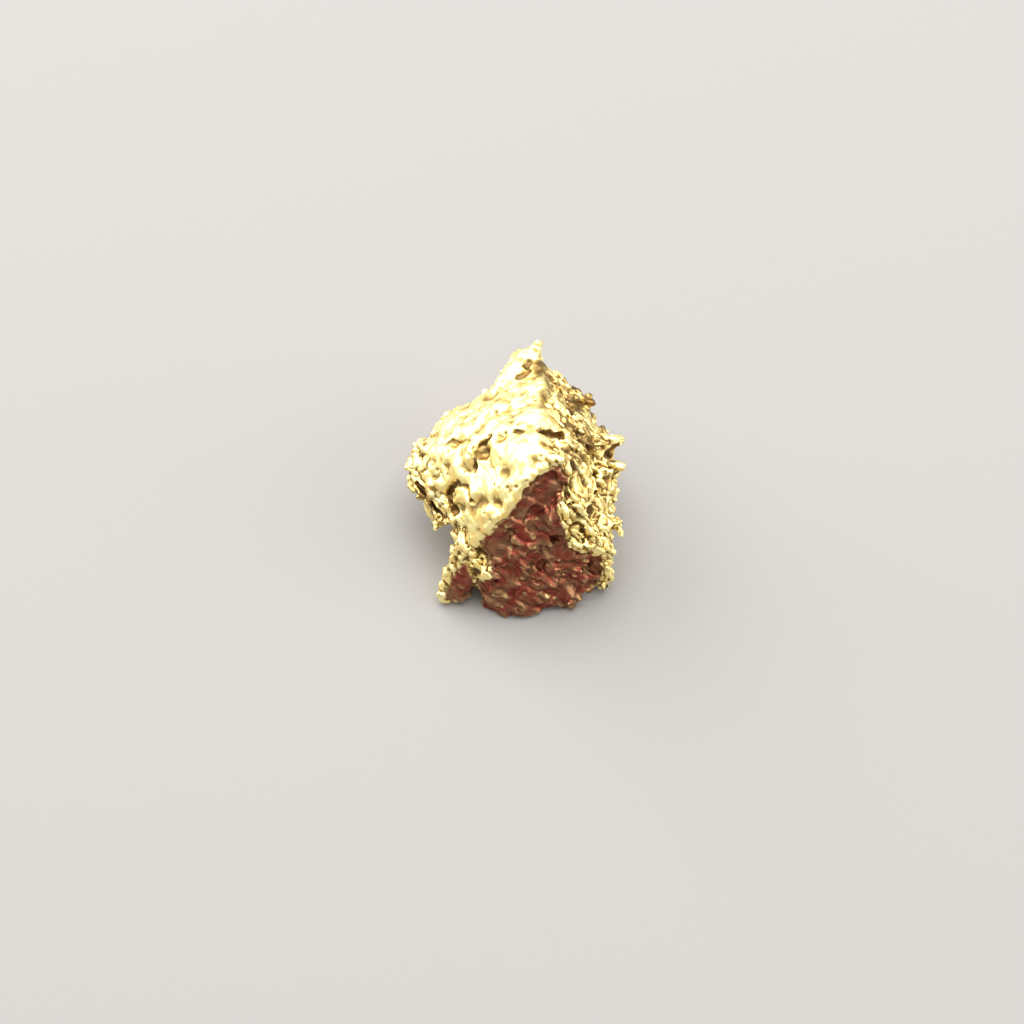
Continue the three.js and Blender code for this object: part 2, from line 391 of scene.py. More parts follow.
# %% [markdown]
# ## Swells and pits
# Water and gravel have worn the top into soft swells. Some gaps between the crystals never filled
# with metal, and show as pits: a star-shaped one on the lobe, a crescent round a small column, a
# crease behind the lip of the crest, and several on the right side. Cutting them out with other
# bodies would leave sharp rims, so each is a stroke from one end to another that the skin sinks
# under, and a star or a crescent is a few strokes that meet.

# %% swells and pits pushed into the base
PITS = [
    # one end, other end, radius, depth
    ((-1.62, 0.02, 6.20), (-1.10, 0.36, 6.40), 0.15, 0.22),
    ((-1.72, -0.46, 6.05), (-1.34, -0.44, 6.15), 0.36, 0.17),
    ((-1.80, -0.60, 6.00), (-1.88, -1.08, 5.90), 0.14, 0.24),
    ((-3.25, 0.75, 5.00), (-2.95, 0.92, 5.10), 0.13, 0.18),
    ((-2.95, 0.92, 5.10), (-2.62, 0.72, 5.25), 0.11, 0.18),
    ((-2.32, 0.25, 6.00), (-2.25, -0.15, 5.90), 0.10, 0.18),
    ((-3.05, -1.51, 4.24), (-2.85, -2.35, 4.15), 0.24, 0.31),
    ((-3.05, -1.40, 4.30), (-2.45, -1.15, 4.85), 0.22, 0.31),
    ((-2.45, -1.15, 4.85), (-2.00, -1.70, 5.20), 0.16, 0.26),
    ((-2.00, -1.70, 5.20), (-1.95, -2.20, 5.20), 0.17, 0.25),
    ((1.20, 0.12, 7.20), (2.10, 0.15, 7.10), 0.26, 0.37),
    ((0.00, 0.40, 7.10), (0.25, 0.35, 7.15), 0.20, 0.25),
    ((0.68, 4.78, 5.21), (0.55, 4.55, 5.35), 0.26, 0.22),
    ((0.25, 4.00, 5.50), (0.60, 4.20, 5.45), 0.26, 0.26),
    ((1.45, 4.10, 5.45), (1.85, 3.95, 5.40), 0.28, 0.28),
    ((3.15, 0.30, 6.10), (3.45, 0.15, 6.05), 0.34, 0.28),
    ((2.74, -1.32, 7.05), (2.84, -1.50, 6.98), 0.34, 0.46),
    ((4.26, -0.94, 4.48), (4.30, -1.10, 4.40), 0.40, 0.28),
    ((3.54, -2.74, 5.20), (3.62, -2.85, 5.00), 0.32, 0.25),
    ((2.20, -0.60, 7.10), (2.60, -0.55, 6.90), 0.22, 0.19),
    ((2.30, -2.30, 6.90), (2.35, -2.70, 6.50), 0.20, 0.22),
    ((4.36, 0.30, 4.61), (4.75, 0.60, 4.71), 0.30, 0.25),
    ((2.40, -3.60, 3.60), (3.90, -3.60, 2.70), 0.18, 0.19),
    ((-4.62, -0.62, 3.58), (-4.08, -1.40, 3.55), 0.17, 0.30),
    ((-4.08, -1.40, 3.55), (-3.50, -2.20, 3.50), 0.17, 0.30),
]


PIT_REACH = 1.0
PIT_SIDEWAYS = 0.85


def pit_depth(points, form, margin=0.0):
    """How deep the pits are at each point. A pit is deepest along the line between its two ends,
    its sides are steep, and noise makes its rim ragged. The distance to the line counts sideways
    mostly, so a point down in a pit still belongs to it. A margin makes every pit that much
    wider. The depth is three quarters a steep step at the rim and one quarter an even bowl."""
    deepest = np.zeros(len(points))
    ragged = 0.28 * smooth_noise(points, 0.22, 60) + 0.16 * smooth_noise(points, 0.1, 61)
    for start, end, radius, depth in PITS:
        start, along = np.array(start), np.array(end) - np.array(start)
        part = np.clip((points - start) @ along / (along @ along), 0, 1)
        away = points - start - part[:, None] * along
        up = np.sum(away * form, axis=1)
        away = away - PIT_SIDEWAYS * np.where(np.abs(up) < PIT_REACH, up, 0)[:, None] * form
        gap = np.linalg.norm(away, axis=1) / (radius + margin) + ragged
        share = 0.75 * eased(1 - gap, 0, 0.45) + 0.25 * eased(1 - gap, 0, 1)
        deepest = np.maximum(deepest, depth * share)
    return deepest


SWELLS_AND_DENTS = [
    # middle, radius, how far the skin moves outwards there
    ((-4.7, 0.6, 3.6), 1.6, 0.24),
    ((-3.2, 2.4, 4.2), 1.3, 0.10),
    ((0.3, 5.0, 5.2), 1.3, 0.22),
    ((1.7, 5.1, 4.7), 0.9, -0.28),
    ((3.6, 3.0, 4.3), 1.3, -0.28),
    ((4.8, -2.6, 3.0), 1.3, -0.20),
    ((4.3, -4.8, 0.6), 1.0, -0.25),
    ((-4.0, -3.8, 1.4), 1.2, -0.18),
    ((-4.8, -1.0, 2.5), 1.0, -0.25),
    ((-4.0, -4.6, 0.5), 0.8, -0.15),
    ((5.0, -1.6, 3.6), 0.9, -0.22),
    ((4.9, -0.1, 4.4), 0.6, 0.12),
    ((2.7, -5.1, 0.5), 0.9, 0.38),
]


def swells_and_dents(points):
    """Wide swells and dents: each is highest over its middle and falls evenly to its radius."""
    total = np.zeros(len(points))
    for middle, radius, push in SWELLS_AND_DENTS:
        gap = np.linalg.norm(points - np.array(middle), axis=1) / radius
        total += push * eased(1 - gap, 0.0, 0.7)
    return total


def form_of(corners, triangles, edges, rounds):
    """The direction that the nugget as a whole faces at each corner: its normals, evened out."""
    form = evened(normals_of(corners, triangles), edges, rounds)
    return form / np.linalg.norm(form, axis=1, keepdims=True)


SWELL = 0.09
FINE_SWELL = 0.03
CRUST_SWELL = 0.07
SINK = 0.05
SMOOTH_RISE = 0.07
WALL_SINK = 0.09

form = form_of(corners, triangles, edges, 20)
smooth, wall, _, _ = regions(corners, form)
calm = evened(corners, edges, 15)
corners = corners + 0.5 * smooth[:, None] * (calm - corners)
swell = SWELL * layered_noise(corners, 1.1, 10) + FINE_SWELL * smooth_noise(corners, 0.35, 14)
crust = np.clip(1 - smooth - wall, 0, 1)
swell = swell + CRUST_SWELL * crust * layered_noise(corners, 0.75, 17, 2)
swell = swell * (1 - 0.6 * wall) + swells_and_dents(corners)
sink = SINK - SMOOTH_RISE * smooth + WALL_SINK * wall
corners = corners + form * (swell - sink - pit_depth(corners, form))[:, None]
print("swells from", round(swell.min(), 2), "to", round(swell.max(), 2), "mm")

# %% [markdown]
# ## Fused grains
# Gold grows as grains that run into each other. Laid on as separate pieces they would look like
# rice, so they are fused: each grain is a rounded box of two parameters, longitude and latitude,
# stretched along the surface and sunk into it. They are made as one block of numbers, and then
# the base and all of them are rebuilt together from small squares.

# %% one rounded grain, and many of them
def grain_grid(around, rings):
    """Longitudes and latitudes of a grain's corners, with one closed pole at each end, and the
    triangles that join them."""
    longitude = np.tile(np.arange(around) * 2 * np.pi / around, rings)
    latitude = np.repeat(np.linspace(-np.pi / 2, np.pi / 2, rings + 2)[1:-1], around)
    longitude = np.concatenate([[0], longitude, [0]])
    latitude = np.concatenate([[-np.pi / 2], latitude, [np.pi / 2]])
    column = np.arange(around)
    after = (column + 1) % around
    made = [np.stack([np.zeros(around, int), 1 + after, 1 + column], 1)]
    for ring in range(rings - 1):
        low, high = 1 + ring * around, 1 + (ring + 1) * around
        made.append(np.stack([low + column, low + after, high + after], 1))
        made.append(np.stack([low + column, high + after, high + column], 1))
    top = 1 + rings * around
    last = 1 + (rings - 1) * around
    made.append(np.stack([last + column, last + after, np.full(around, top)], 1))
    return longitude, latitude, np.concatenate(made)


def signed_power(value, power):
    """The value's size to a power, with its sign kept."""
    return np.sign(value) * np.abs(value) ** power


def grains(centres, along, across, out, sizes, power, around, rings):
    """Rounded boxes: x = a cos(lat)^p cos(lon)^p, y = b cos(lat)^p sin(lon)^p, z = c sin(lat)^p, each
    on its own three directions. A small power p gives a box, 1 an egg, and 2 an eight-sided
    crystal. Gives corners, triangles and how far up its grain each corner is, from -1 to 1."""
    longitude, latitude, faces = grain_grid(around, rings)
    power = power[:, None]
    x = signed_power(np.cos(latitude), power) * signed_power(np.cos(longitude), power)
    y = signed_power(np.cos(latitude), power) * signed_power(np.sin(longitude), power)
    z = signed_power(np.sin(latitude), power)
    a, b, c = (sizes[:, k, None, None] for k in range(3))
    made = centres[:, None] + a * x[..., None] * along[:, None] + b * y[..., None] * across[:, None]
    made = made + c * z[..., None] * out[:, None]
    numbers = faces[None] + (np.arange(len(centres)) * len(longitude))[:, None, None]
    return made.reshape(-1, 3), numbers.reshape(-1, 3), z.ravel()


# %% where grains sit and which way they run
RUN = np.array([1.0, -0.9, -0.42])


def spread_places(corners, steps, wobble, rng):
    """One corner drawn from each box of an even stack of boxes, which are longer along RUN, so
    that the grains cover the surface evenly. Noise bends the stack, so no rows show."""
    along = RUN / np.linalg.norm(RUN)
    across = np.cross(along, [0, 0, 1.0])
    across /= np.linalg.norm(across)
    axes = np.stack([along, across, np.cross(along, across)])
    place = (corners + wobble * noise_vectors(corners, 0.9, 120)) @ axes.T / steps
    box = np.floor(place + rng.random(3)).astype(np.int64)
    code = (box[:, 0] * 4099 + box[:, 1]) * 4099 + box[:, 2]
    order = np.lexsort([rng.random(len(code)), code])
    first = np.concatenate([[True], np.diff(code[order]) != 0])
    return order[first]


def places_on(corners, triangles, weight, count, rng):
    """Random places on the surface: triangles are drawn in proportion to their area times the
    weight, and a place inside each is drawn evenly."""
    a, b, c = (corners[triangles[:, k]] for k in range(3))
    area = np.linalg.norm(np.cross(b - a, c - a), axis=1) * weight[triangles].mean(1)
    chosen = rng.choice(len(triangles), count, p=area / area.sum())
    u, v = rng.random((2, count))
    over = u + v > 1
    u, v = np.where(over, 1 - u, u), np.where(over, 1 - v, v)
    place = a[chosen] + u[:, None] * (b - a)[chosen] + v[:, None] * (c - a)[chosen]
    return place, triangles[chosen, 0]


def directions(place, out, rng, scatter, lean):
    """Three directions at right angles for each grain: along the surface near RUN, turned by
    noise and by a random angle, across it, and outwards with a random lean."""
    out = out + lean * rng.normal(size=out.shape)
    out = out / np.linalg.norm(out, axis=1, keepdims=True)
    along = RUN - (out @ RUN)[:, None] * out
    along /= np.linalg.norm(along, axis=1, keepdims=True)
    across = np.cross(out, along)
    turn = (0.9 * smooth_noise(place, 1.3, 130) + scatter * rng.normal(size=len(out)))[:, None]
    turned = np.cos(turn) * along + np.sin(turn) * across
    return turned, np.cross(out, turned), out


# %% grains over the base, shaped by region
GRAIN_STEPS = np.array([0.70, 0.45, 0.45])
GRAIN_CHANCE = 0.34
GRAIN_MARGIN = 0.2
GRAIN_HALF_WIDTH = 0.11
GRAIN_EXTRA_WIDTH = 0.17
GRAIN_LENGTHS = (1.0, 2.0)
GRAIN_HEIGHTS = (0.7, 1.0)


def open_places(points, form, margin=0.0):
    """1 where grains may sit and 0 in the pits and within a margin round them."""
    return 1 - eased(pit_depth(points, form, margin), 0.03, 0.12)


rng = np.random.default_rng(25)
at = spread_places(corners, GRAIN_STEPS, 0.35, rng)
smooth, wall, leg, flank = regions(corners[at], form[at])
chance = GRAIN_CHANCE - 0.32 * smooth - 0.28 * wall - 0.32 * leg
chance = chance * (1 - 0.8 * worn_patches(corners[at]))
kept = rng.random(len(at)) < chance * open_places(corners[at], form[at], GRAIN_MARGIN)
at, wall, flank = at[kept], wall[kept], flank[kept]
count = len(at)
along, across, out = directions(corners[at], form[at], rng, 0.35, 0.12)
width = GRAIN_HALF_WIDTH + GRAIN_EXTRA_WIDTH * rng.random(count) ** 1.5
length = width * rng.uniform(*GRAIN_LENGTHS, count) * (1 + 0.5 * flank + 0.4 * wall)
height = width * rng.uniform(*GRAIN_HEIGHTS, count) * (1 - 0.3 * wall)
place = corners[at] + out * (height * rng.uniform(-0.3, 0.3, count))[:, None]
sizes = np.stack([length, width, height], 1)
grain_corners, grain_triangles, _ = grains(
    place, along, across, out, sizes, rng.uniform(0.6, 1.0, count), 10, 6
)
grain_corners = grain_corners + 0.04 * noise_vectors(grain_corners, 0.25, 140)
print(count, "fused grains,", len(grain_triangles), "triangles")

# %% beads in rows, along rims and tips
BEAD_ROWS = [
    # corners of the row's path, radius, how far the beads are sunk
    ([(-2.60, -3.13, 3.74), (-2.65, -3.78, 3.46), (-3.08, -3.99, 2.19), (-3.41, -4.51, 1.14),
      (-3.56, -5.00, 0.55)], 0.12, 0.5),
    ([(-3.72, -2.62, 2.94), (-3.51, -2.48, 3.18), (-3.26, -2.54, 3.42), (-2.95, -2.70, 3.97)], 0.14, 0.2),
    ([(-4.96, -0.71, 3.41), (-4.47, -1.09, 3.37), (-4.24, -1.48, 3.35), (-3.80, -2.05, 3.25)], 0.17, 0.4),
    ([(-4.46, -0.46, 3.71), (-4.00, -1.21, 3.83), (-3.64, -1.77, 3.76), (-3.18, -2.38, 3.81)], 0.15, 0.3),
    ([(-4.00, -0.81, 4.02), (-3.69, -1.23, 3.98), (-3.36, -1.77, 3.97)], 0.14, 0.3),
    ([(-4.80, 0.03, 3.52), (-4.48, 0.62, 3.94), (-4.10, 1.30, 3.90)], 0.17, 0.5),
    ([(-1.75, -4.44, 2.40), (-1.36, -4.69, 3.13), (-1.14, -4.81, 3.08)], 0.19, 0.1),
    ([(-1.87, -4.77, 1.75), (-1.65, -4.78, 2.10), (-1.41, -5.00, 2.75)], 0.15, 0.1),
    ([(4.50, -3.77, 2.57), (4.39, -4.08, 1.94), (4.20, -4.28, 1.49), (4.50, -4.34, 0.97),
      (4.24, -4.72, 0.85)], 0.17, 0.3),
    ([(1.98, -2.73, 6.40), (2.07, -3.31, 6.02), (2.38, -3.51, 5.62), (2.40, -3.85, 4.60)], 0.16, 0.4),
    ([(2.37, -3.99, 4.16), (2.89, -4.10, 3.90), (3.28, -3.88, 3.04), (4.05, -3.90, 3.00)], 0.15, 0.4),
    ([(4.80, -0.22, 4.40), (5.00, -0.18, 4.28)], 0.25, 0.3),
    ([(4.00, 0.75, 4.85), (4.45, 1.00, 4.70), (4.85, 1.25, 4.50)], 0.24, 0.4),
    ([(3.55, 3.68, 4.40), (3.68, 3.30, 4.35)], 0.21, 0.3),
    ([(0.98, 5.92, 5.00), (0.92, 5.62, 5.15)], 0.24, 0.1),
]
LIP_ROWS = [
    ([(-1.39, -3.77, 5.14), (-0.95, -3.52, 5.64), (-0.43, -3.32, 6.04), (-0.17, -3.06, 6.60),
      (0.04, -2.73, 6.80), (0.21, -2.48, 7.08), (0.51, -2.24, 7.36), (0.94, -1.90, 7.45),
      (1.45, -1.67, 7.62), (2.01, -1.61, 7.75)], 0.26, 0.75),
]


def bead_rows(rows, spacing, wobble, rng):
    """Middles and radii of beads. They stand on each row's path, the spacing times their radius
    apart, a little off it at random, and their radii differ by up to a third."""
    middles, radii, sinks = [], [], []
    for path, radius, sunk in rows:
        path = np.array(path)
        steps = np.linalg.norm(np.diff(path, axis=0), axis=1)
        walked = np.concatenate([[0], np.cumsum(steps)])
        stops = np.linspace(0, walked[-1], max(2, round(walked[-1] / (spacing * radius))))
        middle = np.stack([np.interp(stops, walked, path[:, k]) for k in range(3)], 1)
        middles.append(middle + wobble * radius * rng.normal(size=middle.shape))
        radii.append(radius * rng.uniform(1 - 0.8 * wobble, 1 + wobble, len(stops)))
        sinks.append(np.full(len(stops), sunk))
    return np.concatenate(middles), np.concatenate(radii), np.concatenate(sinks)


def outward_near(points, corners, form):
    """The form's direction near each point: the mean over its 12 nearest corners."""
    gaps = ((points[:, None] - corners[None, ::3]) ** 2).sum(2)
    near = np.argpartition(gaps, 12, axis=1)[:, :12]
    out = form[::3][near].mean(1)
    return out / np.linalg.norm(out, axis=1, keepdims=True)


rows = [bead_rows(BEAD_ROWS, 1.25, 0.25, rng), bead_rows(LIP_ROWS, 0.4, 0.08, rng)]
bead_place, bead_radius, bead_sunk = (np.concatenate([row[k] for row in rows]) for k in range(3))
bead_out = outward_near(bead_place, corners, form)
bead_place = bead_place - bead_out * (bead_radius * bead_sunk)[:, None]
bead_along, bead_across, bead_up = directions(bead_place, bead_out, rng, 0.5, 0.1)
bead_sizes = bead_radius[:, None] * rng.uniform(0.85, 1.3, (len(bead_radius), 3))
bead_power = rng.uniform(0.75, 1.0, len(bead_radius))
bead_corners, bead_triangles, _ = grains(
    bead_place, bead_along, bead_across, bead_up, bead_sizes, bead_power, 12, 8
)
print(len(bead_radius), "beads")

# %% fuse them with the base
FINE_STEP = 0.048


def together(*meshes):
    """Several pairs of arrays as one pair."""
    starts = np.cumsum([0] + [len(corners) for corners, _ in meshes])
    return (
        np.concatenate([corners for corners, _ in meshes]),
        np.concatenate([triangles + start for (_, triangles), start in zip(meshes, starts)]),
    )


corners, triangles = together(
    (corners, triangles),
    (grain_corners, grain_triangles),
    (bead_corners, bead_triangles),
)
corners, triangles = through_modifier(corners, triangles, "REMESH", mode="VOXEL", voxel_size=FINE_STEP)
corners, triangles = largest_shell(corners, triangles)
edges = edges_of(triangles)
corners = evened(corners, edges, 1)
print("fused:", len(corners), "corners,", len(triangles), "triangles")

# %% [markdown]
# ## Crystal lumps and ledges
# The right side is long lumps of crystal, about 0.6 mm wide and 1.5 mm long, that all run down
# to the right with narrow dark grooves between them. They could be modelled one by one, but cell
# noise gives both at once: each cell is a lump at a height of its own, and where two centres are
# almost equally far the skin sinks. The wall broke instead of growing, so it has ledges: waves
# shaped like the teeth of a saw, two ways across, with tilted plates between them.

# %% ledges and plates of the wall
LEDGE_SPAN = 0.95
NARROW_SPAN = 0.31
LEDGE_ACROSS = np.array([0.65, 0.34, 0.68])
CROSS_SPAN = 1.2
CROSS_ACROSS = np.array([-0.75, 0.35, 0.56])
PLATE_SIZE = 0.8
SAW_RISE = (0.0, 0.85)
SAW_DROP = (0.87, 1.0)


def saw(value):
    """Rises evenly from 0 to 1 over most of each whole step of the value, then drops back."""
    part = value - np.floor(value)
    return eased(part, *SAW_RISE) * (1 - eased(part, *SAW_DROP))


def facets(points):
    """The wall's broken faces, from -1 to 1: slanting ledges that rise evenly and drop back, and
    flat plates of cell noise between them, each at a height and with a tilt of its own. The
    narrow ledges are stronger on the lower half."""
    bent = points + 0.34 * noise_vectors(points, 1.0, 70) + 0.07 * noise_vectors(points, 0.3, 72)
    wide = saw(bent @ LEDGE_ACROSS / LEDGE_SPAN)
    narrow = saw((bent @ LEDGE_ACROSS + 0.5 * smooth_noise(points, 1.3, 74)) / NARROW_SPAN)
    cross = saw(bent @ CROSS_ACROSS / CROSS_SPAN)
    _, _, number, way = cell_noise(bent, PLATE_SIZE, 75)
    tilts = np.stack([np.sin(40 * number), np.sin(70 * number + 1), np.sin(110 * number + 2)], 1)
    plates = 0.6 * (number - 0.5) + 0.7 * np.sum(way * tilts, axis=1)
    lower_half = eased(4.6 - points[:, 2], 0.0, 2.0)
    return wide + (0.15 + 0.3 * lower_half) * narrow + 0.55 * cross - 0.95 + plates


# %% grooves between long lumps, and finer ones between grains
LUMP_SIZE = 0.60
LUMP_HEIGHT = 0.11
LUMP_SHORTER = 0.6
ROUGH_SIZE = 0.3
ROUGH_HEIGHT = 0.022
ROUGH_SHORTER = 0.3
WALL_FACETS = 0.13
LEG_FACETS = 0.06
PRICK_DEPTH = 0.07


def shortened(points, share):
    """Points with a share of their place along RUN taken away, so cells found there run long."""
    run = RUN / np.linalg.norm(RUN)
    return points - share * (points @ run)[:, None] * run


def crystal_skin(points, form):
    """How far the skin moves outwards. Long cells along RUN are lumps at heights of their own
    with narrow grooves between them, the lowest ones sink into open windows, and smaller
    cells roughen the lumps. The right side has most of it, the worn top hardly any."""
    smooth, wall, leg, flank = regions(points, form)
    bent = points * (1 + 0.02 * smooth_noise(points, 2.2, 88))[:, None]
    bent = bent + 0.18 * noise_vectors(points, 0.8, 80) + 0.05 * noise_vectors(points, 0.22, 84)
    first, second, number, _ = cell_noise(shortened(bent, LUMP_SHORTER), LUMP_SIZE, 90)
    window = eased(0.17 - number, 0, 0.03)
    lump = eased(second - first, 0.05, 0.24) - 1 + 0.8 * (number - 0.5) - 0.9 * window
    first, second, number, _ = cell_noise(shortened(bent, ROUGH_SHORTER), ROUGH_SIZE, 95)
    rough = eased(second - first, 0.02, 0.35) - 1 + 0.8 * (number - 0.5)
    worn = np.maximum(worn_patches(points), 0.8 * eased(smooth_noise(points, 1.5, 99), 0.15, 0.55))
    crust = np.clip(1 - smooth - wall - leg, 0, 1) * (0.8 + 0.2 * flank) * (1 - 0.7 * worn)
    first, _, number, _ = cell_noise(points, 0.5, 93)
    prick = smooth * (number > 0.6) * eased(0.24 - first, 0, 0.12)
    ripple = smooth_noise(points, 0.3, 96) + 0.6 * smooth_noise(points, 0.14, 97)
    long_part = (0.018 + LUMP_HEIGHT * crust - 0.014 * wall) * lump
    rough_part = (0.012 + ROUGH_HEIGHT * crust) * rough + (0.013 - 0.006 * wall) * ripple
    broken_part = (WALL_FACETS * wall + LEG_FACETS * leg) * facets(points)
    return long_part + rough_part + broken_part - PRICK_DEPTH * prick


form = form_of(corners, triangles, edges, 60)
corners = corners + form * (crystal_skin(corners, form) * open_places(corners, form))[:, None]
corners = evened(corners, edges, 1)

# %% fewer triangles, where it is flat
SKIN_TRIANGLES = 190_000
corners, triangles = through_modifier(
    corners, triangles, "DECIMATE", ratio=SKIN_TRIANGLES / len(triangles), use_collapse_triangulate=True
)
corners, triangles = largest_shell(corners, triangles)
edges = edges_of(triangles)
form = form_of(corners, triangles, edges, 50)
pit = pit_depth(corners, form)
print("skin:", len(corners), "corners,", len(triangles), "triangles")

# %% [markdown]
# ## Crystals that stand free
# Here and there on the right side, the roof, the rims and the back a crystal hasn't run into the
# others and still stands by itself. Fusing would round it off, so these stay a piece of their
# own: grains again, of a few dozen triangles each, half sunk in the skin and lying the same way
# as the lumps. There are only a few, because many together look like rice.

# %% crystals of 0.1 to 0.2 mm across
FREE_STEPS = np.array([0.36, 0.19, 0.19])
FREE_CHANCE = 0.03
FREE_HALF_WIDTHS = (0.055, 0.10)
FREE_LENGTHS = (1.3, 3.0)
FREE_HEIGHTS = (0.06, 0.11)
PIT_RIM = 0.03
LOWEST_CRYSTAL = 0.5

smooth, wall, leg, _ = regions(corners, form)
crusted = np.clip(1 - smooth - leg - wall, 0, 1)
skin_out = normals_of(corners, triangles)
mixed_out = form + 0.7 * skin_out
at = spread_places(corners, FREE_STEPS, 0.3, rng)
at = at[rng.random(len(at)) < FREE_CHANCE * crusted[at] * (pit[at] < PIT_RIM)]
at = at[corners[at, 2] > LOWEST_CRYSTAL]
count = len(at)
along, across, out = directions(corners[at], mixed_out[at], rng, 0.3, 0.22)
width = rng.uniform(*FREE_HALF_WIDTHS, count)
length = width * rng.uniform(*FREE_LENGTHS, count)
height = rng.uniform(*FREE_HEIGHTS, count)
sizes = np.stack([length, width, height], 1)
place = corners[at] + out * (height * rng.uniform(-0.2, 0.5, count))[:, None]
free_corners, free_triangles, free_height = grains(
    place, along, across, out, sizes, rng.uniform(0.55, 0.95, count), 8, 3
)
free_corners = free_corners + 0.02 * noise_vectors(free_corners, 0.11, 150)
free_home = np.repeat(at, len(free_corners) // count)
print(count, "free crystals,", len(free_triangles), "triangles")

# %% [markdown]
# ## Small crystals
# The finest ones are only specks that catch the light. They are scattered evenly over the crust,
# and even the worn top has a few. They could be a bump in the material, but then they wouldn't
# show against the floor at the nugget's edge.

# %% crystals of 0.06 to 0.12 mm across
SMALL_COUNT = 350
SMALL_HALF_WIDTHS = (0.028, 0.06)
SMALL_LENGTHS = (1.2, 2.6)

weight = np.maximum(crusted, 0.02) * (1 - wall) * (pit < PIT_RIM) * (corners[:, 2] > LOWEST_CRYSTAL)
place, at = places_on(corners, triangles, weight, SMALL_COUNT, rng)
along, across, out = directions(place, mixed_out[at], rng, 0.5, 0.3)
width = rng.uniform(*SMALL_HALF_WIDTHS, SMALL_COUNT)
sizes = np.stack([width * rng.uniform(*SMALL_LENGTHS, SMALL_COUNT), width, width], 1)
place = place + out * (sizes[:, 2] * rng.uniform(0.0, 0.6, SMALL_COUNT))[:, None]
small_corners, small_triangles, small_height = grains(
    place, along, across, out, sizes, rng.uniform(0.5, 1.3, SMALL_COUNT), 6, 3
)
small_home = np.repeat(at, len(small_corners) // SMALL_COUNT)
print(SMALL_COUNT, "small crystals,", len(small_triangles), "triangles")

# %% [markdown]
# ## Fitting
# The skin keeps the solid's own size. Scaling all of it to fit would shrink it for the sake of a
# few knobs, so only what sticks out of the solid's box is pressed back to a third of that, and
# the underside is cut off level with the floor that the nugget stands on.

# %% fit to the solid's box
low, high = np.array(solid_box[0]) / MM, np.array(solid_box[1]) / MM
KEPT_OUTSIDE = 0.33


def fitted(points):
    """Points with whatever lies outside the solid's box pressed back, and nothing below the floor."""
    over = np.maximum(points - high, 0)
    under = np.maximum(low - points, 0)
    pressed = points + (1 - KEPT_OUTSIDE) * (under - over)
    pressed[:, 2] = np.maximum(pressed[:, 2], low[2])
    return pressed


print("furthest outside the box", np.round(np.max([corners.max(0) - high, low - corners.min(0)], 0), 2), "mm")

# %% [markdown]
# ## Hollows and stain
# Hollows are painted darker as shade, patches of painted shade lie on the right roof, the shoulder
# and under the lobe, and the wall and the leg's face are painted dark as a reflection in shade,
# lighter on the wall's ridges and at a few spots as painted highlights. A material can't feel how
# deep a place lies, so it is measured on the mesh: evening out fills hollows, and how far it lifts
# a corner tells how deep that corner was.

# %% painted shade and painted reflection, as a number at each corner
# how much painted shade goes, in patches, on the right roof, the shoulder and under the lobe
ROOF_SHADE = 0.9
SHOULDER_SHADE = 0.54
UNDER_LOBE_SHADE = 0.5

# painted shade: the deeper a corner lies in a hollow, the darker it is painted
hollow_fine = np.sum((evened(corners, edges, 12) - corners) * skin_out, axis=1)
hollow_wide = np.sum((evened(corners, edges, 60) - corners) * form, axis=1)
deep = 0.8 * eased(hollow_wide, 0.03, 0.14)
hollow_shade = np.clip(eased(hollow_fine, -0.004, 0.028) + deep, 0, 1)
x, y, z = corners.T
roof = eased(x + 0.4 * eased(y, 2.6, 3.6), 0.9, 1.5) * eased(y, 0.9, 1.7)
shoulder = eased(x, 1.9, 2.5) * eased(y, -2.4, -1.8) * eased(z, 4.8, 5.6)
under_lobe = eased(-x, 2.9, 3.5) * eased(-z, -4.2, -3.6)
patchy_shade = np.max([ROOF_SHADE * roof, SHOULDER_SHADE * shoulder, UNDER_LOBE_SHADE * under_lobe], axis=0)
patchy_shade = patchy_shade * eased(layered_noise(corners, 0.9, 160), -0.1, 0.5)
hollow_shade = np.maximum(hollow_shade * (1 - 0.4 * smooth) + patchy_shade * (1 - hollow_shade), eased(pit, 0.02, 0.22))
# painted glints: a few small spots on the wall are left light, as painted highlights
first, _, number, _ = cell_noise(shortened(corners, 0.5), 0.24, 170)
painted_glint = (number > 0.86) * eased(0.42 - first, 0, 0.2)
# painted highlight: the wall's ridges are left a little lighter
ridge_highlight = eased(-hollow_fine, 0.03, 0.06)
# painted reflection in shade: the wall and the leg's face are painted dark
painted_dark_reflection = np.maximum(wall, leg) * (1 - 0.25 * ridge_highlight) * (1 - 0.6 * painted_glint)
hollow_shade = hollow_shade * (1 - 0.7 * painted_glint * wall)
print("hollow mean", round(hollow_shade.mean(), 3), "stain mean", round(painted_dark_reflection.mean(), 3))


def finished(name, corners, triangles, numbers, material):
    """A smooth piece in metres with its numbers as attributes, its material and its place on the body."""
    mesh = mesh_of(name, corners * MM, triangles)
    for label, values in numbers.items():
        attribute = mesh.attributes.new(label, "FLOAT", "POINT")
        attribute.data.foreach_set("value", values.astype(np.float32))
    mesh.polygons.foreach_set("use_smooth", np.ones(len(triangles), bool))
    mesh.materials.append(material)
    piece = bpy.data.objects.new(name, mesh)
    bpy.context.scene.collection.objects.link(piece)
    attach(piece, "root")
    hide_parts("nugget")
    return piece


# %% [markdown]
# ## Gold
# Pure gold is deep yellow by nature: the metal itself colours what it reflects. The hollows are
# painted brown as shade, and the wall and the leg's face are painted dark red as a reflection in
# shade. Both could be coats over the gold, but a single metal whose colour changes keeps its shine
# in the painted places, as the real one does.
# The skin and the free crystals share one group of nodes and differ only in how polished they are.

# %% how the gold's surface varies
def noise_of(nodes, links, place, scale, detail):
    """Noise from 0 to 1 with the given number of swells per millimetre."""
    noise = nodes.new("ShaderNodeTexNoise")
    noise.inputs["Scale"].default_value = scale
    noise.inputs["Detail"].default_value = detail
    links.new(place, noise.inputs["Vector"])
    return noise.outputs["Fac"]


